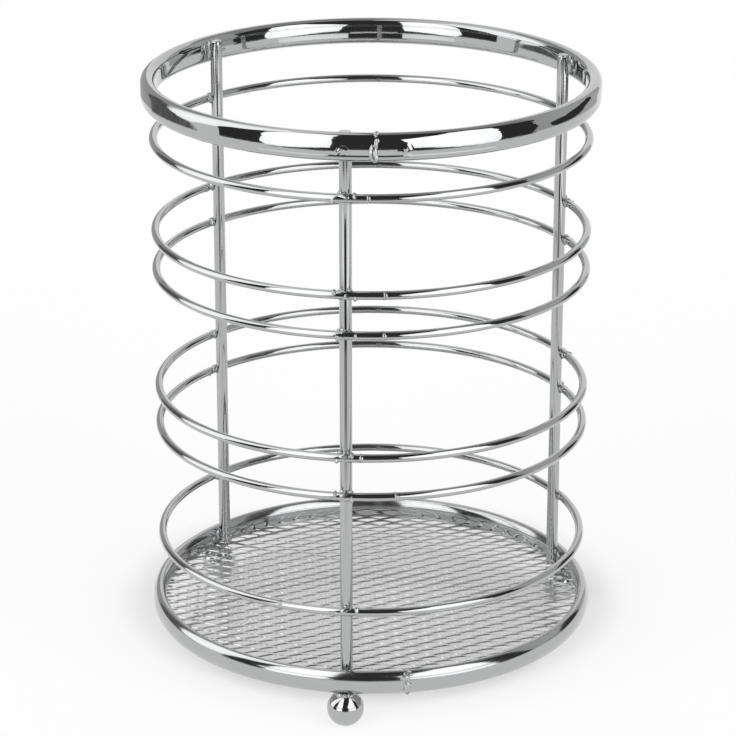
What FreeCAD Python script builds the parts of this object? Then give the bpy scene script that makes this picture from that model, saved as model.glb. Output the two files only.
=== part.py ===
import FreeCAD, Part
import math
import os

from FreeCAD import Vector

# Round cutlery holder of welded, chromed steel wire. Millimetres, +Z up, front towards -Y.
# The origin is on the axis at the level that the feet stand on.
# Angles are in degrees from the front, positive towards +X.

# Wire hoops, numbered from the top
hoop_diameter = 108.0           # of the wire's centre line
hoop_wire_diameter = 2.1
base_to_hoop_gap = 15.3         # base ring's top to the lowest hoop's centre line
hoop_to_pair_gap = 30.4         # lowest hoop to the lower pair
pair_spacing = 10.0             # between the two hoops of a pair
pair_to_pair_gap = 31.1         # lower pair to the upper pair
pair_to_hoop_gap = 23.7         # upper pair to the highest hoop
hoop_to_rim_gap = 9.3           # highest hoop's centre line to the rim's underside
hoop_seam_angles = (-1.0, 3.2, 2.9, -2.8, 6.1, -24.2)

# Upright posts
post_diameter = 3.0
post_angles = {"front": -6.7, "right": 111.3, "left": 230.0}
post_hoop_set_down = 0.5        # depth that a post is pressed into a hoop by welding
post_bar_set_down = 0.12        # depth that a post is pressed into the rim and the base ring
post_top_drop = 0.6             # post's end below the rim's top

# Flat bar with fully rounded edges, bent to the rim and the base ring
bar_thickness = 3.5
rim_height = 6.8
base_ring_height = 6.1
rim_seam_angle = 0.9
base_ring_seam_angle = 9.2

# Expanded metal floor
mesh_thickness = 0.7
mesh_drop = 0.85                # mesh's top below the base ring's middle
mesh_long_way = 7.3             # opening pitch along the long diagonal
mesh_short_way = 4.2            # opening pitch along the short diagonal
mesh_strand_width = 0.8
mesh_edge_width = 0.8           # plain edge that is welded to the base ring
mesh_turn = 1.3                 # long diagonal, from +X towards +Y
smallest_opening_share = 0.15   # cut openings at the edge below this share of a whole one stay closed

# Ball feet
foot_diameter = 9.1
foot_flat_depth = 0.1           # ground off the ball where it stands
foot_sink = 0.2                 # height that the ball is pressed into the base ring
foot_inset = 0.7                # ball's centre inside the bar's middle

# Welds
hoop_seam_bead = 0.3            # bead's height over the wire
bar_seam_bead = 0.3             # bead's height over the bar
bar_seam_width = 1.6            # bead's length along the bar
hoop_nugget_radius = 1.6
rim_nugget_radius = 2.2
base_nugget_radius = 1.9
foot_nugget_radius = 1.9
mesh_nugget_radius = 1.2
mesh_nugget_spread = 9.0        # angle from a post to the mesh welds beside it

# Radii and levels that follow from the sizes above
hoop_radius = hoop_diameter / 2
hoop_inner_radius = hoop_radius - hoop_wire_diameter / 2
post_radius = post_diameter / 2
post_reach = hoop_inner_radius + post_hoop_set_down - post_radius
bar_inner_radius = post_reach + post_radius - post_bar_set_down
bar_middle_radius = bar_inner_radius + bar_thickness / 2
foot_radius = foot_diameter / 2
foot_reach = bar_middle_radius - foot_inset

base_bottom = foot_diameter - foot_flat_depth - foot_sink
base_middle = base_bottom + base_ring_height / 2
base_top = base_bottom + base_ring_height
mesh_top = base_middle - mesh_drop
mesh_bottom = mesh_top - mesh_thickness
hoop_6_level = base_top + base_to_hoop_gap
hoop_5_level = hoop_6_level + hoop_to_pair_gap
hoop_4_level = hoop_5_level + pair_spacing
hoop_3_level = hoop_4_level + pair_to_pair_gap
hoop_2_level = hoop_3_level + pair_spacing
hoop_1_level = hoop_2_level + pair_to_hoop_gap
hoop_levels = (hoop_1_level, hoop_2_level, hoop_3_level, hoop_4_level, hoop_5_level, hoop_6_level)
rim_bottom = hoop_1_level + hoop_to_rim_gap
rim_middle = rim_bottom + rim_height / 2
post_top = rim_bottom + rim_height - post_top_drop

AXIS = Vector(0, 0, 1)
CENTRE = Vector(0, 0, 0)


def at(reach, angle, level):
    """Point at a distance from the axis, turned from the front."""
    turn = math.radians(angle)
    return Vector(reach * math.sin(turn), -reach * math.cos(turn), level)


def bar_ring(thickness, height, middle, sweep=360.0):
    """Ring of flat bar with fully rounded edges, or a stretch of it that starts at the front."""
    edge_radius = thickness / 2
    half_flat = height / 2 - edge_radius
    inner = bar_middle_radius - edge_radius
    outer = bar_middle_radius + edge_radius
    inner_low = at(inner, 0, middle - half_flat)
    inner_high = at(inner, 0, middle + half_flat)
    outer_low = at(outer, 0, middle - half_flat)
    outer_high = at(outer, 0, middle + half_flat)
    crown = at(bar_middle_radius, 0, middle + height / 2)
    sole = at(bar_middle_radius, 0, middle - height / 2)
    section = Part.Wire([
        Part.LineSegment(inner_low, inner_high).toShape(),
        Part.Arc(inner_high, crown, outer_high).toShape(),
        Part.LineSegment(outer_high, outer_low).toShape(),
        Part.Arc(outer_low, sole, inner_low).toShape(),
    ])
    return Part.Face(section).revolve(CENTRE, AXIS, sweep)


def bar_seam_weld(height, middle, angle, ring):
    """Bead around a ring's butt joint."""
    turn = math.degrees(bar_seam_width / bar_middle_radius)
    bead = bar_ring(bar_thickness + 2 * bar_seam_bead, height + 2 * bar_seam_bead, middle, turn)
    bead.rotate(CENTRE, AXIS, angle - turn / 2)
    return bead.cut(ring)


def mesh_openings(radius):
    """Outlines of the diamond openings, cut off at the mesh's plain edge and turned as holes."""
    slope = math.atan2(mesh_short_way, mesh_long_way)
    half_long = mesh_long_way / 2 - mesh_strand_width / 2 / math.sin(slope)
    half_short = mesh_short_way / 2 - mesh_strand_width / 2 / math.cos(slope)
    turn = math.radians(mesh_turn)
    along = Vector(math.cos(turn), math.sin(turn), 0)
    across = Vector(-math.sin(turn), math.cos(turn), 0)
    middle = Vector(0, 0, mesh_bottom)
    limit = Part.Face(Part.Wire(Part.makeCircle(radius, middle)))
    columns = math.ceil(2 * radius / mesh_long_way)
    rows = math.ceil(2 * radius / mesh_short_way)
    outlines = []
    for row in range(-rows, rows + 1):
        for column in range(-columns, columns + 1):
            if (row + column) % 2:
                continue
            place = middle + along * (column * mesh_long_way / 2) + across * (row * mesh_short_way / 2)
            corners = [
                place + along * half_long,
                place + across * half_short,
                place - along * half_long,
                place - across * half_short,
            ]
            inside = [corner.distanceToPoint(middle) < radius for corner in corners]
            diamond = Part.makePolygon(corners + corners[:1])
            if all(inside):
                outlines.append(diamond.reversed())
            elif any(inside):
                least = smallest_opening_share * 2 * half_long * half_short
                for piece in Part.Face(diamond).common(limit).Faces:
                    if piece.Area > least:
                        outlines.append(piece.OuterWire.reversed())
    return outlines


def make_mesh_floor():
    """Disc of expanded metal with a plain edge."""
    outline = Part.Wire(Part.makeCircle(bar_inner_radius, Vector(0, 0, mesh_bottom)))
    openings = mesh_openings(bar_inner_radius - mesh_edge_width)
    return Part.Face([outline] + openings).extrude(AXIS * mesh_thickness)


def make_post(angle):
    """Upright post that stands on the mesh."""
    return Part.makeCylinder(post_radius, post_top - mesh_top, at(post_reach, angle, mesh_top), AXIS)


def make_foot(angle, ring):
    """Ball foot with a small flat to stand on, pressed up against the base ring."""
    middle = foot_radius - foot_flat_depth
    ball = Part.makeSphere(foot_radius, at(foot_reach, angle, middle))
    ground = Part.makeCylinder(foot_radius, foot_radius, at(foot_reach, angle, -foot_radius), AXIS)
    return ball.cut([ground, ring])


def nugget(radius, reach, angle, level, neighbours, pole=AXIS):
    """Weld metal around a joint, cut to each piece that it joins in turn."""
    weld = Part.makeSphere(radius, at(reach, angle, level), pole)
    for neighbour in neighbours:
        weld = weld.cut(neighbour)
    return weld


def hoop_seam_weld(level, angle):
    """Lump of weld metal between the two ends of a hoop's wire."""
    along_wire = AXIS.cross(at(hoop_radius, angle, 0))
    return nugget(hoop_wire_diameter / 2 + hoop_seam_bead, hoop_radius, angle, level, [], along_wire)


# Posts, rings and hoops; rings and hoops are pressed in where the posts are welded on,
# and a hoop is open where its butt weld fills it
posts = {side: make_post(angle) for side, angle in post_angles.items()}
post_list = list(posts.values())
rim = bar_ring(bar_thickness, rim_height, rim_middle).cut(post_list)
base_ring = bar_ring(bar_thickness, base_ring_height, base_middle).cut(post_list)
hoop_seam_welds = [hoop_seam_weld(level, angle) for level, angle in zip(hoop_levels, hoop_seam_angles)]
hoops = [
    Part.makeTorus(hoop_radius, hoop_wire_diameter / 2, Vector(0, 0, level), AXIS).cut(post_list + [weld])
    for level, weld in zip(hoop_levels, hoop_seam_welds)
]
mesh_floor = make_mesh_floor()
mesh_space = Part.makeCylinder(bar_middle_radius, mesh_thickness, Vector(0, 0, mesh_bottom), AXIS)
feet = {side: make_foot(angle, base_ring) for side, angle in post_angles.items()}

# Welds
crossing_reach = post_reach + post_radius - post_hoop_set_down / 2
post_to_hoop_welds = [
    nugget(hoop_nugget_radius, crossing_reach, angle, level, [hoop, posts[side]])
    for side, angle in post_angles.items()
    for hoop, level in zip(hoops, hoop_levels)
]
post_to_rim_welds = [
    nugget(rim_nugget_radius, bar_inner_radius, angle, rim_middle, [rim, posts[side]])
    for side, angle in post_angles.items()
]
base_nugget_level = base_top - base_nugget_radius
mesh_and_base = [mesh_space, base_ring]
post_to_base_welds = [
    nugget(base_nugget_radius, bar_inner_radius, angle, base_nugget_level, mesh_and_base + [posts[side]])
    for side, angle in post_angles.items()
]
foot_welds = [
    nugget(foot_nugget_radius, foot_reach, angle, base_bottom, mesh_and_base + [feet[side]])
    for side, angle in post_angles.items()
]
mesh_spot_welds = [
    nugget(mesh_nugget_radius, bar_inner_radius, angle + turn, mesh_top, mesh_and_base)
    for angle in post_angles.values()
    for turn in (-mesh_nugget_spread, mesh_nugget_spread)
]

nodes = {
    "top_rim": [rim],
    "rim_seam_weld": [bar_seam_weld(rim_height, rim_middle, rim_seam_angle, rim)],
    "base_ring": [base_ring],
    "base_ring_seam_weld": [
        bar_seam_weld(base_ring_height, base_middle, base_ring_seam_angle, base_ring).cut(mesh_space)
    ],
    "mesh_floor": [mesh_floor],
    "hoop_seam_welds": hoop_seam_welds,
    "post_to_hoop_welds": post_to_hoop_welds,
    "post_to_rim_welds": post_to_rim_welds,
    "post_to_base_welds": post_to_base_welds,
    "foot_welds": foot_welds,
    "mesh_spot_welds": mesh_spot_welds,
}
for number, hoop in enumerate(hoops, start=1):
    nodes[f"hoop_{number}"] = [hoop]
for side in post_angles:
    nodes[f"post_{side}"] = [posts[side]]
    nodes[f"foot_{side}"] = [feet[side]]

os.makedirs("parts", exist_ok=True)
for name, shapes in nodes.items():
    solids = [solid for shape in shapes for solid in shape.Solids]
    whole = solids[0] if len(solids) == 1 else Part.makeCompound(solids)
    whole.exportStep(f"parts/{name}.step")
    print(f"{name}: {len(solids)} solids, {sum(solid.Volume for solid in solids):.2f} mm3")
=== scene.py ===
import math
import random

import bpy
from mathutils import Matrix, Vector, noise


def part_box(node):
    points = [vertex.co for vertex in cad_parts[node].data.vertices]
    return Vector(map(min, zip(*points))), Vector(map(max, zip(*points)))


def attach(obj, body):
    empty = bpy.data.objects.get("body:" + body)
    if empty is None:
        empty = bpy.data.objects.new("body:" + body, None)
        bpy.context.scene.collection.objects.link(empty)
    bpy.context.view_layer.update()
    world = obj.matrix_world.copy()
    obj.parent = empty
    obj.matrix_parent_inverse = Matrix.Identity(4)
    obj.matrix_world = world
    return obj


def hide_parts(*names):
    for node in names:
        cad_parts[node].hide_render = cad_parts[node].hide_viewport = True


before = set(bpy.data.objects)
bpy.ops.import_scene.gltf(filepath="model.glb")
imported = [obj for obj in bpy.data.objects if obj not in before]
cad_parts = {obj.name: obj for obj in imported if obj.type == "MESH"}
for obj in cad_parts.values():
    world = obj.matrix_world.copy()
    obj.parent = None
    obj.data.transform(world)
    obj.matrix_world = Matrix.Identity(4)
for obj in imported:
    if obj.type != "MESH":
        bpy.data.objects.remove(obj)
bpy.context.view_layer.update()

# Chromed wire cutlery holder. Metres, +Z up, front towards -Y.
# Angles are in degrees from the front, positive towards +X.

MM = 0.001


def span(node):
    """Lowest and highest level of a node."""
    low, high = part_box(node)
    return low.z, high.z


# Sizes that the frame gives
hoop_count = 6
rim_bottom, rim_top = span("top_rim")
base_bottom, base_top = span("base_ring")
mesh_bottom, mesh_top = span("mesh_floor")
post_top = span("post_front")[1]
bar_outer_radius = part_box("top_rim")[1].x
hoop_outer_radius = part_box("hoop_1")[1].x
wire_radius = (span("hoop_1")[1] - span("hoop_1")[0]) / 2
hoop_radius = hoop_outer_radius - wire_radius
hoop_levels = [sum(span(f"hoop_{number}")) / 2 for number in range(1, hoop_count + 1)]
foot_radius = (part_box("foot_front")[1].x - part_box("foot_front")[0].x) / 2

# Sizes of the pieces
bar_thickness = 3.5 * MM
bar_crown = 0.03 * MM
joint_swell = 1.05
joint_length = 1.3 * wire_radius
post_radius = 1.5 * MM
post_bite = 0.12 * MM
post_end_round = 0.4 * MM
post_end_loop = 1.0 * MM
foot_inset = 0.7 * MM
foot_flat = 0.1 * MM
rim_seam_angle = 0.9
base_seam_angle = 9.2
post_angles = {"front": -6.7, "right": 111.3, "left": 230.0}
hoop_seam_angles = (-1.0, 3.2, 2.9, -2.8, 6.1, -24.2)
bar_middle_radius = bar_outer_radius - bar_thickness / 2
bar_inner_radius = bar_outer_radius - bar_thickness
rim_middle = (rim_bottom + rim_top) / 2
base_middle = (base_bottom + base_top) / 2
post_reach = bar_inner_radius + post_bite - post_radius
foot_reach = bar_middle_radius - foot_inset
foot_level = foot_radius - foot_flat

# Fineness of the round shapes
turn_steps = 240
edge_steps = 40
face_rows = 9
wire_sides = 24
post_sides = 48
post_end_steps = 5
ball_sides = 64
ball_rows = 40
cut_threshold = 0.0001 * MM
merge_distance = 0.001 * MM
row_tolerance = 0.01 * MM


def at(reach, angle, level):
    """Point at a distance from the axis, turned from the front."""
    turn = math.radians(angle)
    return Vector((reach * math.sin(turn), -reach * math.cos(turn), level))


# Modelling steps


def added(name):
    """The object that was just added, named and with its place put into its mesh."""
    piece = bpy.context.object
    piece.name = name
    bpy.ops.object.transform_apply(location=True, rotation=True, scale=True)
    return piece


def pick(piece, kind, wanted):
    """Opens a piece for editing with only the wanted vertices, edges or faces selected."""
    bpy.ops.object.mode_set(mode="EDIT")
    bpy.ops.mesh.select_mode(type=kind)
    bpy.ops.mesh.select_all(action="DESELECT")
    bpy.ops.object.mode_set(mode="OBJECT")
    parts = {"VERT": piece.data.vertices, "EDGE": piece.data.edges, "FACE": piece.data.polygons}[kind]
    for part in parts:
        part.select = wanted(part)
    bpy.ops.object.mode_set(mode="EDIT")


def pick_all():
    """Opens the active piece for editing with all of it selected."""
    bpy.ops.object.mode_set(mode="EDIT")
    bpy.ops.mesh.select_all(action="SELECT")


def turn_round():
    """Spins the selected section once round the holder's axis."""
    bpy.ops.mesh.spin(steps=turn_steps, angle=2 * math.pi, center=(0, 0, 0), axis=(0, 0, 1))


def close(piece, sharp_angle=180):
    """Merges doubles, turns the faces outwards, smooths the shading and leaves edit mode."""
    pick_all()
    bpy.ops.mesh.remove_doubles(threshold=merge_distance)
    bpy.ops.mesh.normals_make_consistent(inside=False)
    bpy.ops.object.mode_set(mode="OBJECT")
    bpy.ops.object.shade_smooth_by_angle(angle=math.radians(sharp_angle))
    piece.select_set(False)
    return piece


def only(piece):
    """Makes a piece the active one, and the only one selected."""
    bpy.ops.object.select_all(action="DESELECT")
    piece.select_set(True)
    bpy.context.view_layer.objects.active = piece


def copied(pattern, name, angle, lift=0.0):
    """Copy of a pattern with its own mesh, turned round the holder's axis and lifted."""
    only(pattern)
    bpy.ops.object.duplicate()
    bpy.context.object.location = (0, 0, lift)
    bpy.context.object.rotation_euler = (0, 0, math.radians(angle))
    piece = added(name)
    piece.select_set(False)
    return piece


def discarded(pattern):
    """Takes away a pattern whose copies are made."""
    only(pattern)
    bpy.ops.object.delete()


def finished(piece, material, slot, *nodes):
    """Puts a piece in place of its nodes, with its material."""
    piece.data.materials.clear()
    piece.data.materials.append(material)
    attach(piece, "root")
    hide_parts(*nodes)


# Material nodes


class Value:
    """An output of a material's nodes. Sums and products of values add Math nodes."""

    def __init__(self, tree, socket=None):
        self.tree = tree
        self.socket = socket

    def node(self, kind, settings=None, inputs=None, output=0):
        """Adds a node with its settings and then its inputs, and gives one of its outputs."""
        made = self.tree.nodes.new(kind)
        for name, setting in (settings or {}).items():
            setattr(made, name, setting)
        for name, given in (inputs or {}).items():
            if isinstance(given, Value):
                self.tree.links.new(given.socket, made.inputs[name])
            else:
                made.inputs[name].default_value = given
        return Value(self.tree, made.outputs[output] if made.outputs else None)

    def math(self, operation, first, second):
        """Adds a Math node."""
        return self.node("ShaderNodeMath", {"operation": operation}, {0: first, 1: second})

    def __add__(self, other):
        return self.math("ADD", self, other)

    def __mul__(self, other):
        return self.math("MULTIPLY", self, other)

    __radd__ = __add__
    __rmul__ = __mul__


def new_material(name):
    """Empty material and the start of its nodes."""
    material = bpy.data.materials.new(name)
    material.use_nodes = True
    material.node_tree.nodes.clear()
    return material, Value(material.node_tree)


def mottling(start, place, scale, detail, output=0):
    """Cloudy noise over a surface."""
    return start.node(
        "ShaderNodeTexNoise", inputs={"Vector": place, "Scale": scale, "Detail": detail}, output=output
    )


def faded(start, amount, low, high, first=0.0, last=1.0):
    """Value that goes smoothly from first to last while an amount goes from low to high."""
    return start.node(
        "ShaderNodeMapRange",
        {"interpolation_type": "SMOOTHSTEP"},
        {"Value": amount, "From Min": low, "From Max": high, "To Min": first, "To Max": last},
    )


def distance_from(start, place, centre):
    """Distance of a place from a fixed point."""
    return start.node("ShaderNodeVectorMath", {"operation": "DISTANCE"}, {0: place, 1: centre}, "Value")


# Chrome plating
chrome_low = (0.43, 0.435, 0.44)
chrome_high = (0.47, 0.472, 0.475)
ripple_detail = 2.0
haze_scale = 90.0
haze_detail = 4.0
grain_scale = 2600.0
grain_detail = 1.0
haze_share = 0.6
streak_scale = 2200.0
streak_detail = 3.0
streak_stretch = (0.06, 0.06, 1.0)
streak_share = 0.7

# Heat marks on the rim's outer face, beside the front post's weld
mark_radius = 1.9 * MM
mark_height = 4.5
mark_wander = 2.2 * MM
mark_wander_scale = 420.0
mark_ring_rate = 2 * math.pi / mark_radius
rim_marks = (
    at(bar_outer_radius, -6.9, rim_top - 4.1 * MM),
    at(bar_outer_radius, 8.5, rim_top - 3.5 * MM),
)


def chrome(name, ripple_scale, ripple_height, roughness, streaks=0.0, marks=(), lift=1.0):
    """Grey metal with a faint ripple and haze, and where asked polishing streaks and heat marks."""
    material, start = new_material(name)
    place = start.node("ShaderNodeTexCoord", output="Object")
    haze = mottling(start, place, haze_scale, haze_detail)
    grain = mottling(start, place, grain_scale, grain_detail)
    low_tone, high_tone = (
        [side * lift for side in colour] + [1.0] for colour in (chrome_low, chrome_high)
    )
    tone = start.node(
        "ShaderNodeMix",
        {"data_type": "RGBA"},
        {"Factor": haze, "A": low_tone, "B": high_tone},
        output="Result",
    )
    height = mottling(start, place, ripple_scale, ripple_detail)
    polish = haze_share * haze + (1 - haze_share) * grain
    if streaks:
        drawn_out = start.node("ShaderNodeMapping", inputs={"Vector": place, "Scale": streak_stretch})
        lines = mottling(start, drawn_out, streak_scale, streak_detail)
        height = height + streaks * lines
        polish = (1 - streak_share) * haze + streak_share * lines
    for mark in marks:
        wander = mottling(start, place, mark_wander_scale, 0.0, "Color")
        wandering = start.node(
            "ShaderNodeVectorMath",
            {"operation": "MULTIPLY_ADD"},
            {0: wander, 1: (mark_wander,) * 3, 2: place},
        )
        away = distance_from(start, wandering, [side + mark_wander / 2 for side in mark])
        rings = start.math("SINE", away * mark_ring_rate, 0.0)
        height = height + faded(start, away, 0.0, mark_radius, mark_height, 0.0) * rings
    bump = start.node(
        "ShaderNodeBump",
        inputs={"Strength": 1.0, "Distance": ripple_height, "Height": height},
        output="Normal",
    )
    smoothest, roughest = roughness
    surface = start.node(
        "ShaderNodeBsdfPrincipled",
        inputs={
            "Base Color": tone,
            "Metallic": 1.0,
            "Roughness": smoothest + (roughest - smoothest) * polish,
            "Normal": bump,
        },
    )
    start.node("ShaderNodeOutputMaterial", inputs={"Surface": surface})
    return material


rim_chrome = chrome(
    "chrome_rim",
    ripple_scale=160.0,
    ripple_height=0.004 * MM,
    roughness=(0.015, 0.06),
    streaks=0.3,
    marks=rim_marks,
)
base_chrome = chrome(
    "chrome_base", ripple_scale=160.0, ripple_height=0.005 * MM, roughness=(0.06, 0.17), streaks=0.5
)
wire_chrome = chrome("chrome_wire", ripple_scale=260.0, ripple_height=0.004 * MM, roughness=(0.03, 0.09))
mesh_chrome = chrome(
    "chrome_mesh", ripple_scale=420.0, ripple_height=0.003 * MM, roughness=(0.08, 0.18), lift=1.16
)
ball_chrome = chrome("chrome_ball", ripple_scale=150.0, ripple_height=0.002 * MM, roughness=(0.02, 0.05))
weld_chrome = chrome("chrome_weld", ripple_scale=700.0, ripple_height=0.012 * MM, roughness=(0.14, 0.34))


# Rim and base ring


def bar_ring(name, bottom, top):
    """Ring of flat bar with round edges and slightly crowned faces."""
    middle = (bottom + top) / 2
    edge_radius = bar_thickness / 2 - bar_crown
    half_flat = (top - bottom) / 2 - edge_radius
    half_step = math.pi / edge_steps
    bpy.ops.mesh.primitive_circle_add(
        vertices=edge_steps,
        radius=edge_radius,
        location=(bar_middle_radius, 0, middle),
        rotation=(math.pi / 2, half_step, 0),
    )
    ring = added(name)
    for side in (1, -1):
        pick(ring, "VERT", lambda vertex: (vertex.co.z - middle) * side > 0)
        bpy.ops.transform.translate(value=(0, 0, half_flat * side))
    bpy.ops.object.mode_set(mode="OBJECT")
    corners = ring.data.vertices

    def is_flat(edge):
        first, second = (corners[index].co for index in edge.vertices)
        return abs(first.z - second.z) > half_flat

    pick(ring, "EDGE", is_flat)
    bpy.ops.mesh.subdivide(number_cuts=face_rows)
    for row in range(1, face_rows + 1):
        share = 2 * row / (face_rows + 1) - 1
        level = middle + share * (half_flat + edge_radius * math.sin(half_step))
        bulge = (edge_radius + bar_crown * (1 - share * share)) / edge_radius
        pick(ring, "VERT", lambda vertex: abs(vertex.co.z - level) < row_tolerance)
        bpy.ops.transform.resize(value=(bulge, 1, 1), center_override=(bar_middle_radius, 0, level))
    pick_all()
    turn_round()
    return close(ring)


def oval_ring(name, bottom, top):
    """Ring of oval bar."""
    middle = (bottom + top) / 2
    bpy.ops.mesh.primitive_circle_add(
        vertices=2 * edge_steps,
        radius=bar_thickness / 2,
        location=(bar_middle_radius, 0, middle),
        rotation=(math.pi / 2, 0, 0),
    )
    ring = added(name)
    pick_all()
    stretch = (top - bottom) / bar_thickness
    bpy.ops.transform.resize(value=(1, 1, stretch), center_override=(bar_middle_radius, 0, middle))
    turn_round()
    return close(ring)


bpy.ops.object.select_all(action="DESELECT")
finished(bar_ring("rim_bar", rim_bottom, rim_top), rim_chrome, "chrome_bar", "top_rim")
finished(oval_ring("base_bar", base_bottom, base_top), base_chrome, "chrome_bar", "base_ring")


# Hoops


def hoop():
    """Wire hoop at level 0, a little thicker at its butt joint, which is at the front."""
    bpy.ops.mesh.primitive_circle_add(
        vertices=wire_sides, radius=wire_radius, location=(hoop_radius, 0, 0), rotation=(math.pi / 2, 0, 0)
    )
    wire = added("hoop_pattern")
    pick_all()
    turn_round()
    joint = at(hoop_radius, 0, 0)
    pick(wire, "VERT", lambda vertex: (vertex.co - joint).length < joint_length)
    bpy.ops.transform.resize(value=(joint_swell, joint_swell, joint_swell), center_override=joint)
    return close(wire)


hoop_pattern = hoop()
for number, (level, angle) in enumerate(zip(hoop_levels, hoop_seam_angles), start=1):
    wire = copied(hoop_pattern, f"hoop_wire_{number}", angle, level)
    finished(wire, wire_chrome, "chrome_wire", f"hoop_{number}")
discarded(hoop_pattern)


# Posts


def post():
    """Post at the front with rounded ends, and a loop near each end that keeps its shading straight."""
    bpy.ops.mesh.primitive_cylinder_add(
        vertices=post_sides,
        radius=post_radius,
        depth=post_top - mesh_top,
        location=at(post_reach, 0, (mesh_top + post_top) / 2),
    )
    wire = added("post_pattern")
    pick(wire, "FACE", lambda face: round(abs(face.normal.z)) == 1)
    bpy.ops.mesh.bevel(offset=post_end_round, segments=post_end_steps, affect="EDGES")
    for level in (mesh_top + post_end_loop, post_top - post_end_loop):
        bpy.ops.mesh.select_all(action="SELECT")
        bpy.ops.mesh.bisect(plane_co=(0, 0, level), plane_no=(0, 0, 1), threshold=cut_threshold)
    return close(wire)


post_pattern = post()
for side, angle in post_angles.items():
    finished(copied(post_pattern, f"post_wire_{side}", angle), wire_chrome, "chrome_wire", f"post_{side}")
discarded(post_pattern)


# Ball feet


def ball():
    """Ball foot at the front with a small flat to stand on."""
    bpy.ops.mesh.primitive_uv_sphere_add(
        segments=ball_sides, ring_count=ball_rows, radius=foot_radius, location=at(foot_reach, 0, foot_level)
    )
    foot = added("ball_pattern")
    pick_all()
    bpy.ops.mesh.bisect(
        plane_co=(0, 0, 0), plane_no=(0, 0, 1), use_fill=True, clear_inner=True, threshold=cut_threshold
    )
    return close(foot)


ball_pattern = ball()
for side, angle in post_angles.items():
    finished(copied(ball_pattern, f"ball_foot_{side}", angle), ball_chrome, "chrome_ball", f"foot_{side}")
discarded(ball_pattern)

# Expanded metal floor
mesh_long_way = 7.3 * MM
mesh_short_way = 4.2 * MM
mesh_turn = 1.3
mesh_reach = 54.0 * MM
mesh_sharp_angle = 30
strand_width = 0.9 * MM
strand_thickness = 0.2 * MM
strand_cut_sides = 12
edge_run = 0.34 * MM
bond_length = 0.5 * MM
rise_shares = (0.45, 0.35, 0.2)


def expanded_metal():
    """Disc of flattened expanded metal: strands with a sheared front edge that zigzag from bond to bond."""
    valley = strand_width / 2
    peak = mesh_short_way / 2 - valley
    middle = (mesh_top + mesh_bottom) / 2
    bpy.ops.mesh.primitive_plane_add(size=1, location=(0, valley, middle), rotation=(0, math.pi / 2, 0))
    bpy.context.object.scale = (strand_thickness, strand_width, 1)
    strands = added("mesh_strands")
    upper_front = min(strands.data.vertices, key=lambda vertex: vertex.co.y - vertex.co.z).index
    pick(strands, "VERT", lambda vertex: vertex.index == upper_front)
    bpy.ops.transform.translate(value=(0, edge_run, 0))
    bpy.ops.mesh.select_mode(type="FACE")
    bpy.ops.mesh.select_all(action="SELECT")
    half_bond = (bond_length / 2, 0, 0)
    run = (mesh_long_way / 2 - bond_length) / len(rise_shares)
    steps = [half_bond]
    for share in rise_shares:
        steps.append((run, (peak - valley) * share, 0))
    steps += [half_bond, half_bond]
    for share in reversed(rise_shares):
        steps.append((run, (valley - peak) * share, 0))
    steps.append(half_bond)
    for step in steps:
        bpy.ops.mesh.extrude_region_move(TRANSFORM_OT_translate={"value": step})
    bpy.ops.mesh.delete(type="ONLY_FACE")
    bpy.ops.object.mode_set(mode="OBJECT")
    long_count = 2 * math.ceil(mesh_reach / mesh_long_way) + 2
    short_count = 2 * math.ceil(mesh_reach / mesh_short_way) + 2
    for count, offset in (
        (2, (mesh_long_way / 2, mesh_short_way / 2, 0)),
        (long_count, (mesh_long_way, 0, 0)),
        (short_count, (0, mesh_short_way, 0)),
    ):
        array = strands.modifiers.new("array", "ARRAY")
        array.count = count
        array.use_relative_offset = False
        array.use_constant_offset = True
        array.constant_offset_displace = offset
        bpy.ops.object.modifier_apply(modifier=array.name)
    strands.location = (-long_count * mesh_long_way / 2, -short_count * mesh_short_way / 2, 0)
    bpy.ops.object.transform_apply(location=True)
    strands.rotation_euler = (0, 0, math.radians(mesh_turn))
    bpy.ops.object.transform_apply(rotation=True)
    pick_all()
    bpy.ops.mesh.remove_doubles(threshold=merge_distance)
    pick(strands, "FACE", lambda face: face.center.xy.length > mesh_reach)
    bpy.ops.mesh.delete(type="FACE")
    bpy.ops.mesh.select_all(action="SELECT")
    bpy.ops.mesh.fill_holes(sides=strand_cut_sides)
    return close(strands, mesh_sharp_angle)


finished(expanded_metal(), mesh_chrome, "chrome_mesh", "mesh_floor")

# Welds
lump_fineness = 3
lump_unevenness = 0.28
lump_grain = 1.3
lump_shift = 9
draw = random.Random(4)


def drawn(limits):
    """Random length between two limits in mm."""
    return draw.uniform(*limits) * MM


def lump(spot):
    """Uneven lump of weld metal at a spot, given by distance from the axis, angle, level and size."""
    reach, angle, level, size = spot
    bpy.ops.mesh.primitive_ico_sphere_add(subdivisions=lump_fineness, radius=1)
    blob = bpy.context.object
    shift = Vector([draw.uniform(-lump_shift, lump_shift) for side in size])
    for vertex in blob.data.vertices:
        vertex.co *= 1 + lump_unevenness * noise.noise(vertex.co * lump_grain + shift)
    blob.scale = [side * MM for side in size]
    blob.rotation_euler = (0, 0, math.radians(angle))
    blob.location = at(reach, angle, level)
    bpy.ops.object.transform_apply(location=True, rotation=True, scale=True)
    return blob


def weld(name, node, spots):
    """Weld metal in place of a node, made of lumps."""
    bpy.ops.object.select_all(action="DESELECT")
    lumps = [lump(spot) for spot in spots]
    for blob in lumps:
        blob.select_set(True)
    bpy.context.view_layer.objects.active = lumps[0]
    bpy.ops.object.join()
    lumps[0].name = name
    finished(close(lumps[0]), weld_chrome, "chrome_weld", node)


def beside(angle, reach, distance):
    """Angle at a distance along a ring from another angle."""
    return angle + math.degrees(distance / reach)


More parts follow.
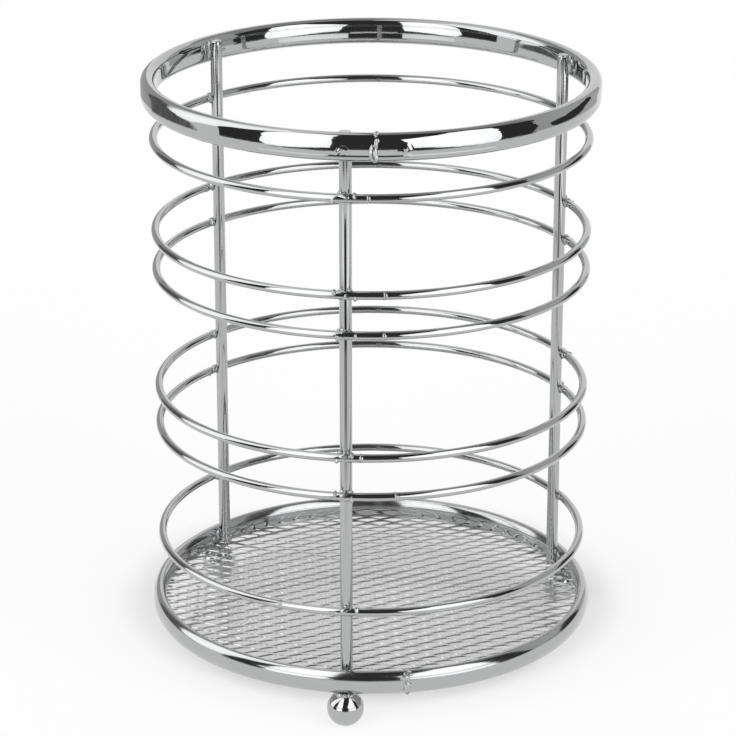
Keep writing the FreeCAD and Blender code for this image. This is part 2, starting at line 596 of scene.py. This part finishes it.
def near(reach, angle, level, *rows):
    """Spots near a point, from rows of mm outwards, degrees along, mm upwards, and half sizes in mm
    along the ring, outwards and upwards."""
    return [(reach + out * MM, angle + turn, level + up * MM, size) for out, turn, up, size in rows]


# Butt joint of the rim: a leaf-shaped run on the outer face, small blobs on the edges, and a run inside
rim_leaf = (
    (0.0, -0.5, -1.0, (1.1, 0.5, 2.0)),
    (-0.15, -0.1, -2.2, (0.8, 0.55, 1.1)),
    (-0.05, 0.1, 0.9, (0.5, 0.36, 1.2)),
    (-0.25, 0.4, 1.9, (0.6, 0.5, 0.6)),
)
rim_shoulder_blob = (-0.8, 0.1, -0.5, (0.5, 0.5, 0.5))
rim_top_blobs = ((0.4, 0.2, -0.1, (0.6, 0.6, 0.45)), (-0.6, 0.3, -0.2, (0.45, 0.5, 0.4)))
rim_bottom_blob = (0.0, 0.0, 0.12, (0.6, 1.2, 0.4))
rim_inside_rises = (-2.0, -1.0, 0.0, 1.0, 2.0)
rim_inside_length = (0.4, 0.6)
rim_inside_run = [
    (0.1, 0.0, rise, (draw.uniform(*rim_inside_length), 0.3, 0.75)) for rise in rim_inside_rises
]
rim_seam_spots = (
    near(bar_outer_radius, rim_seam_angle, rim_middle, *rim_leaf)
    + near(bar_outer_radius, rim_seam_angle, rim_top, rim_shoulder_blob)
    + near(bar_middle_radius, rim_seam_angle, rim_top, *rim_top_blobs)
    + near(bar_middle_radius, rim_seam_angle, rim_bottom, rim_bottom_blob)
    + near(bar_inner_radius, rim_seam_angle, rim_middle, *rim_inside_run)
)
weld("rim_seam_bead", "rim_seam_weld", rim_seam_spots)

# Butt joint of the base ring: a ragged run all the way round the bar
base_bottom_blob = (0.0, 0.0, 0.1, (0.5, 1.2, 0.35))
base_shoulder_blobs = ((-0.25, -0.9, -1.5, (1.1, 0.5, 0.7)), (-0.7, 0.4, -0.7, (0.9, 0.6, 0.5)))
base_top_blobs = ((-0.5, -0.5, -0.1, (0.55, 0.5, 0.35)), (0.5, 0.5, -0.1, (0.55, 0.5, 0.35)))
base_run_rises = (-2.1, -1.4, -0.7, 0.0, 0.8, 1.6, 2.3)
base_run_sway = (-0.7, 0.7)
base_run_length = (0.55, 1.0)
base_run_depth = 0.42
base_run_height = (0.5, 0.75)
base_run_tuck = 0.05 * MM
base_steep_height = 1.4
base_curve_slope = 0.7
base_seam_spots = near(bar_middle_radius, base_seam_angle, base_bottom, base_bottom_blob)
base_seam_spots += near(bar_outer_radius, base_seam_angle, base_top, *base_shoulder_blobs)
for rise in base_run_rises:
    sway = beside(base_seam_angle, bar_outer_radius, drawn(base_run_sway))
    size = (draw.uniform(*base_run_length), base_run_depth, draw.uniform(*base_run_height))
    tuck = base_run_tuck + max(0.0, abs(rise) - base_steep_height) * base_curve_slope * MM
    base_seam_spots.append((bar_outer_radius - tuck, sway, base_middle + rise * MM, size))
    base_seam_spots.append((bar_inner_radius + tuck, base_seam_angle, base_middle + rise * MM, size))
base_seam_spots += near(bar_middle_radius, base_seam_angle, base_top, *base_top_blobs)
weld("base_seam_bead", "base_ring_seam_weld", base_seam_spots)

# Butt joints of the hoops
hoop_seam_collar = (0.0, 0.0, 0.0, (0.45, 1.2, 1.2))
hoop_seam_blob = (0.72, 0.3, 0.1, (0.65, 0.5, 0.7))
hoop_seam_spots = []
for level, angle in zip(hoop_levels, hoop_seam_angles):
    hoop_seam_spots += near(hoop_radius, angle, level, hoop_seam_collar, hoop_seam_blob)
weld("hoop_seam_beads", "hoop_seam_welds", hoop_seam_spots)

# Welds where the posts cross the hoops, with distances along the hoops in mm
contact_depth = 0.2 * MM
contact_reach = post_reach + post_radius - contact_depth
crossing_core = (0.0, 0.0, 0.0, (2.2, 1.12, 1.16))
crossing_bead = (0.25, 0.0, 0.0, (0.6, 1.0, 0.95))
crossing_run_width = 0.8
crossing_run_height = (0.8, 1.1)
crossing_run_aside = (1.0, 1.3)
crossing_bead_aside = (1.6, 2.8)
crossing_rise = (-0.6, 0.6)
fillet_aside = (-0.8, 0.8)
fillet_out = 0.1
fillet_rise = 0.95
fillet_size = (0.8, 0.45, 0.45)

# Welds of the posts' ends and of the mesh's edge
post_run_aside = 1.4 * MM
post_blob_aside = (2.3, 3.0)
post_speck_aside = (3.4, 4.4)
rim_run = (-0.15, 0.0, 0.3, (0.75, 0.6, 2.4))
rim_blob = (-0.05, 0.0, 1.2, (0.85, 0.45, 0.9))
rim_speck = (0.05, 0.0, -0.6, (0.5, 0.3, 0.45))
base_run = (-0.15, 0.0, 0.8, (0.75, 0.6, 1.7))
base_blob = (-0.1, 0.0, 0.2, (0.8, 0.5, 0.8))
mesh_run = (0.0, 0.0, 0.15, (0.9, 1.0, 0.5))
mesh_inner_run = (0.0, 0.0, 0.1, (0.9, 0.6, 0.45))
mesh_edge_angle = 9.0
mesh_edge_blob = (-0.3, 0.0, 0.05, (0.9, 0.6, 0.4))
mesh_edge_speck = (-0.1, 1.5, 0.3, (0.5, 0.35, 0.4))

crossing_spots = []
post_top_spots = []
post_bottom_spots = []
mesh_edge_spots = []
for angle in post_angles.values():
    for level in hoop_levels:
        crossing_spots += near(hoop_radius, angle, level, crossing_core)
        for way in (-1, 1):
            run = beside(angle, contact_reach, way * drawn(crossing_run_aside))
            bead = beside(angle, contact_reach, way * drawn(crossing_bead_aside))
            rise = drawn(crossing_rise)
            size = (crossing_run_width, crossing_run_width, draw.uniform(*crossing_run_height))
            crossing_spots.append((contact_reach, run, level + rise, size))
            crossing_spots += near(hoop_radius, bead, level - rise, crossing_bead)
            fillet = beside(angle, contact_reach, drawn(fillet_aside))
            crossing_spots += near(
                contact_reach, fillet, level, (fillet_out, 0.0, way * fillet_rise, fillet_size)
            )
    for way in (-1, 1):
        run = beside(angle, contact_reach, way * post_run_aside)
        blob = beside(angle, contact_reach, way * drawn(post_blob_aside))
        speck = beside(angle, contact_reach, way * drawn(post_speck_aside))
        post_top_spots += near(bar_inner_radius, run, rim_middle, rim_run)
        post_top_spots += near(bar_inner_radius, blob, rim_middle, rim_blob)
        post_top_spots += near(bar_inner_radius, speck, rim_middle, rim_speck)
        post_bottom_spots += near(bar_inner_radius, run, base_middle, base_run)
        post_bottom_spots += near(bar_inner_radius, blob, base_middle, base_blob)
        post_bottom_spots += near(post_reach, run, mesh_top, mesh_run)
        edge_out, edge_turn, edge_up, edge_size = mesh_edge_speck
        mesh_edge_spots += near(
            bar_inner_radius,
            angle + way * mesh_edge_angle,
            mesh_top,
            mesh_edge_blob,
            (edge_out, way * edge_turn, edge_up, edge_size),
        )
    post_bottom_spots += near(post_reach - post_radius, angle, mesh_top, mesh_inner_run)
weld("crossing_welds", "post_to_hoop_welds", crossing_spots)
weld("post_top_welds", "post_to_rim_welds", post_top_spots)
weld("post_bottom_welds", "post_to_base_welds", post_bottom_spots)
weld("mesh_edge_welds", "mesh_spot_welds", mesh_edge_spots)

# Collars between the balls and the base ring
collar_radius = 1.9 * MM
collar_lumps = 9
collar_width = (0.65, 0.95)
collar_height = 0.6
collar_drop = (0.1, 0.45)
collar_spots = []
for angle in post_angles.values():
    for number in range(collar_lumps):
        turn = 2 * math.pi * number / collar_lumps
        reach = foot_reach + collar_radius * math.cos(turn)
        place = beside(angle, reach, collar_radius * math.sin(turn))
        wide = draw.uniform(*collar_width)
        collar_spots.append((reach, place, base_bottom - drawn(collar_drop), (wide, wide, collar_height)))
weld("foot_collars", "foot_welds", collar_spots)

# Studio panels, which show only in the chrome's reflections
studio_radius = 0.53
flag_radius = 0.545
grey_radius = 0.54
low_flag_radius = 0.52
low_card_radius = 0.25
mat_level = 0.2 * MM
panel_columns = 24
panel_rows = 60
panel_falloff = 0.22
cover_power = 3
cover_limits = (0.45, 0.95)
patch_scale = 26.0
patch_detail = 4.0
dark = 0.05


def along(edge, height):
    """Value at a height, between the (height, value) points of an edge."""
    for (low, begin), (high, finish) in zip(edge, edge[1:]):
        if height <= high:
            return begin + (finish - begin) * (height - low) / (high - low)
    return edge[-1][1]


def card(name, *attributes):
    """Fine square grid with empty attributes, the start of a panel or a mat."""
    bpy.ops.mesh.primitive_grid_add(x_subdivisions=panel_columns, y_subdivisions=panel_rows, size=2)
    sheet = added(name)
    for attribute in attributes:
        sheet.data.attributes.new(attribute, "FLOAT", "POINT")
    return sheet


def glowing(sheet, mottle=0.0):
    """Gives a card its light, and shows it only in reflections. A mottled card has ragged edges."""
    sheet.select_set(False)
    material, start = new_material(sheet.name)
    light = start.node("ShaderNodeAttribute", {"attribute_name": "glow"}, output="Fac")
    if mottle:
        place = start.node("ShaderNodeTexCoord", output="Object")
        patches = mottling(start, place, patch_scale, patch_detail)
        light = light + mottle * patches
    surface = start.node("ShaderNodeEmission", inputs={"Color": light, "Strength": 1.0})
    if mottle:
        cover = start.node("ShaderNodeAttribute", {"attribute_name": "cover"}, output="Fac")
        mask = faded(start, cover + patches, *cover_limits)
        clear = start.node("ShaderNodeBsdfTransparent")
        surface = start.node("ShaderNodeMixShader", inputs={0: mask, 1: clear, 2: surface})
    start.node("ShaderNodeOutputMaterial", inputs={"Surface": surface})
    sheet.data.materials.append(material)
    sheet.visible_camera = False
    sheet.visible_diffuse = False
    sheet.visible_shadow = False


def panel(name, left_edge, right_edge, brightness, distance=studio_radius, mottle=0.0):
    """Curved panel between two edges of (height, angle) points in degrees, dimmer towards its outline."""
    sheet = card(name, "glow", "cover")
    glow = sheet.data.attributes["glow"]
    cover = sheet.data.attributes["cover"]
    low = left_edge[0][0]
    high = left_edge[-1][0]
    for vertex in sheet.data.vertices:
        across, up = vertex.co.x, vertex.co.y
        height = low + (high - low) * ((up + 1) / 2) ** 2
        begin = along(left_edge, height)
        finish = along(right_edge, height)
        turn = begin + (finish - begin) * (across + 1) / 2
        rise = math.radians(height)
        glow.data[vertex.index].value = brightness * (1 - panel_falloff * (across * across + up * up) / 2)
        cover.data[vertex.index].value = 1 - max(abs(across), abs(up)) ** cover_power
        vertex.co = at(distance * math.cos(rise), turn, distance * math.sin(rise))
    glowing(sheet, mottle)


def mat(name, left, right, shades):
    """Mat on the floor between two angles, shaded by (distance, brightness) points."""
    sheet = card(name, "glow")
    glow = sheet.data.attributes["glow"]
    near_end, far_end = shades[0][0], shades[-1][0]
    for vertex in sheet.data.vertices:
        reach = near_end + (far_end - near_end) * (vertex.co.y + 1) / 2
        turn = left + (right - left) * (vertex.co.x + 1) / 2
        glow.data[vertex.index].value = along(shades, reach)
        vertex.co = at(reach, turn, mat_level)
    glowing(sheet)


panel(
    "left_light",
    left_edge=((0.3, -50), (1.8, -53.4), (4.6, -51.5), (30, -51), (55, -54.5), (70, -60), (76, -60)),
    right_edge=((0.3, -21), (0.7, -19.5), (4, -17.9), (40, -18), (66, -22), (76, -30)),
    brightness=2.4,
)
panel(
    "right_light",
    left_edge=((0.3, 20), (3.1, 16.7), (10, 14.5), (26, 13.2), (45, 25), (60, 42), (68, 55)),
    right_edge=(
        (0.3, 61.5), (1.4, 63.1), (2.7, 63.1), (4.1, 62.1), (22, 59.5), (48, 64.8), (60, 74), (68, 74)
    ),
    brightness=2.4,
)
panel(
    "left_top_light",
    left_edge=((2.8, -105.7), (19, -110), (60, -118), (75, -118)),
    right_edge=((2.8, -92.4), (8.5, -76), (33, -68.6), (41.6, -62.8), (57, -59), (75, -62)),
    brightness=2.0,
)
panel(
    "left_low_flag",
    left_edge=((0, -50), (0.4, -45), (1.6, -21)),
    right_edge=((0, -15), (1.6, -15)),
    brightness=dark,
    distance=low_flag_radius,
)
panel(
    "right_low_flag",
    left_edge=((0, 12), (1.6, 12)),
    right_edge=((0, 52), (0.4, 45), (1.6, 20)),
    brightness=dark,
    distance=low_flag_radius,
)
panel(
    "front_flag",
    left_edge=((0, -76), (90, -76)),
    right_edge=((0, 84.7), (2.3, 85.8), (4.2, 83.4), (53, 95), (90, 95)),
    brightness=dark,
    distance=flag_radius,
)
panel(
    "back_flag",
    left_edge=((50, 95), (90, 95)),
    right_edge=((50, 185), (90, 185)),
    brightness=0.42,
    distance=flag_radius,
)
panel(
    "right_stripe",
    left_edge=((0.9, 99), (1.4, 95.3), (2.5, 93.4), (3.1, 99), (3.4, 105), (16, 109), (28, 120), (33, 131)),
    right_edge=((0.9, 108), (1.1, 115), (1.5, 121), (2.3, 126), (8.8, 128.5), (33, 132)),
    brightness=dark,
)
panel(
    "right_grey",
    left_edge=((0.5, 82), (1.9, 84.5), (3.1, 85.4), (7, 83), (14, 80), (34, 82), (50, 95), (60, 110)),
    right_edge=((0.5, 145), (60, 145)),
    brightness=0.65,
    distance=grey_radius,
)
panel(
    "left_grey",
    left_edge=((0, -165), (60, -165)),
    right_edge=((0, -126), (8, -127), (60, -131)),
    brightness=0.5,
    distance=flag_radius,
)
panel(
    "left_smudge",
    left_edge=((0, -136), (5, -135), (44, -137)),
    right_edge=((0, -90), (2.5, -93), (2.9, -104), (15, -108), (30, -114), (44, -122)),
    brightness=0.0,
    mottle=0.32,
)
mat(
    "front_mat",
    left=-22,
    right=18,
    shades=((0.16, 0.96), (0.2, 0.85), (0.22, 0.65), (0.26, 0.35), (0.33, 0.3)),
)
panel(
    "left_low_light",
    left_edge=((11, -52), (16.6, -52)),
    right_edge=((11, -19), (16.6, -19)),
    brightness=1.5,
    distance=low_card_radius,
)
panel(
    "low_flag",
    left_edge=((6, -19), (16.6, -19)),
    right_edge=((6, 14), (16.6, 14)),
    brightness=dark,
    distance=low_card_radius,
)
panel(
    "right_low_light",
    left_edge=((8.5, 14), (16.6, 14)),
    right_edge=((8.5, 58), (16.6, 58)),
    brightness=1.6,
    distance=low_card_radius,
)


def seen_rays(start):
    """1 for the rays of the camera and for those seen in metal or glass, and 0 for light on a surface."""
    kinds = ("Is Camera Ray", "Is Glossy Ray", "Is Transmission Ray")
    first, second, third = (start.node("ShaderNodeLightPath", output=kind) for kind in kinds)
    return start.math("MINIMUM", first + second + third, 1.0)


# White floor, which glows less under and behind the holder, where its shadow lies
floor_radius = 6.0
floor_sides = 96
floor_drop = 0.02 * MM
floor_glow = 0.75
floor_grey = 0.96
shade_glow = 0.14
shade_centre = (0, 24 * MM, 0)
shade_radius = 58 * MM
shade_end = 1.22 * shade_radius
bpy.ops.mesh.primitive_circle_add(
    vertices=floor_sides, radius=floor_radius, fill_type="NGON", location=(0, 0, -floor_drop)
)
floor = added("floor")
floor_white, start = new_material("floor_white")
paint = start.node("ShaderNodeBsdfDiffuse", inputs={"Color": (floor_grey, floor_grey, floor_grey, 1.0)})
away = distance_from(start, start.node("ShaderNodeTexCoord", output="Object"), shade_centre)
glow_share = faded(start, away, shade_radius, shade_end, shade_glow, floor_glow)
white = start.node("ShaderNodeEmission", inputs={"Color": (1.0, 1.0, 1.0, 1.0), "Strength": 1.0})
surface = start.node("ShaderNodeMixShader", inputs={0: glow_share * seen_rays(start), 1: paint, 2: white})
start.node("ShaderNodeOutputMaterial", inputs={"Surface": surface})
floor.data.materials.append(floor_white)

# White surroundings that light with half their brightness, and two soft suns from the front for the rest
ambient_share = 0.5
sun_angle = 45
sun_height = 28.0
sun_width = 50.0
sun_strength = math.pi * (1 - ambient_share) / (2 * math.sin(math.radians(sun_height)))
world = bpy.data.worlds.new("studio")
world.use_nodes = True
world.node_tree.nodes.clear()
start = Value(world.node_tree)
sky = start.node(
    "ShaderNodeBackground",
    inputs={"Color": (1, 1, 1, 1), "Strength": ambient_share + (1 - ambient_share) * seen_rays(start)},
)
start.node("ShaderNodeOutputWorld", inputs={"Surface": sky})


def front_sun(name, angle):
    """Soft sun from the front that isn't seen in reflections."""
    sun_data = bpy.data.lights.new(name, "SUN")
    sun_data.energy = sun_strength
    sun_data.angle = math.radians(sun_width)
    sun = bpy.data.objects.new(name, sun_data)
    height = math.radians(sun_height)
    sun.location = at(math.cos(height), angle, math.sin(height))
    sun.rotation_euler = (-sun.location).to_track_quat("-Z", "Y").to_euler()
    sun.visible_glossy = False
    bpy.context.scene.collection.objects.link(sun)


front_sun("left_sun", -sun_angle)
front_sun("right_sun", sun_angle)
bpy.context.scene.world = world
bpy.context.scene.view_settings.view_transform = "Standard"

# Camera at the photograph's place, tilted down
camera_place = (-0.8, -721.5, 341.2)
camera_tilt = 20.35
camera_data = bpy.data.cameras.new("camera")
camera_data.sensor_width = 36.0
camera_data.lens = 147.56
camera = bpy.data.objects.new("camera", camera_data)
camera.location = [side * MM for side in camera_place]
camera.rotation_euler = (math.radians(90 - camera_tilt), 0, 0)
bpy.context.scene.collection.objects.link(camera)
bpy.context.scene.camera = camera
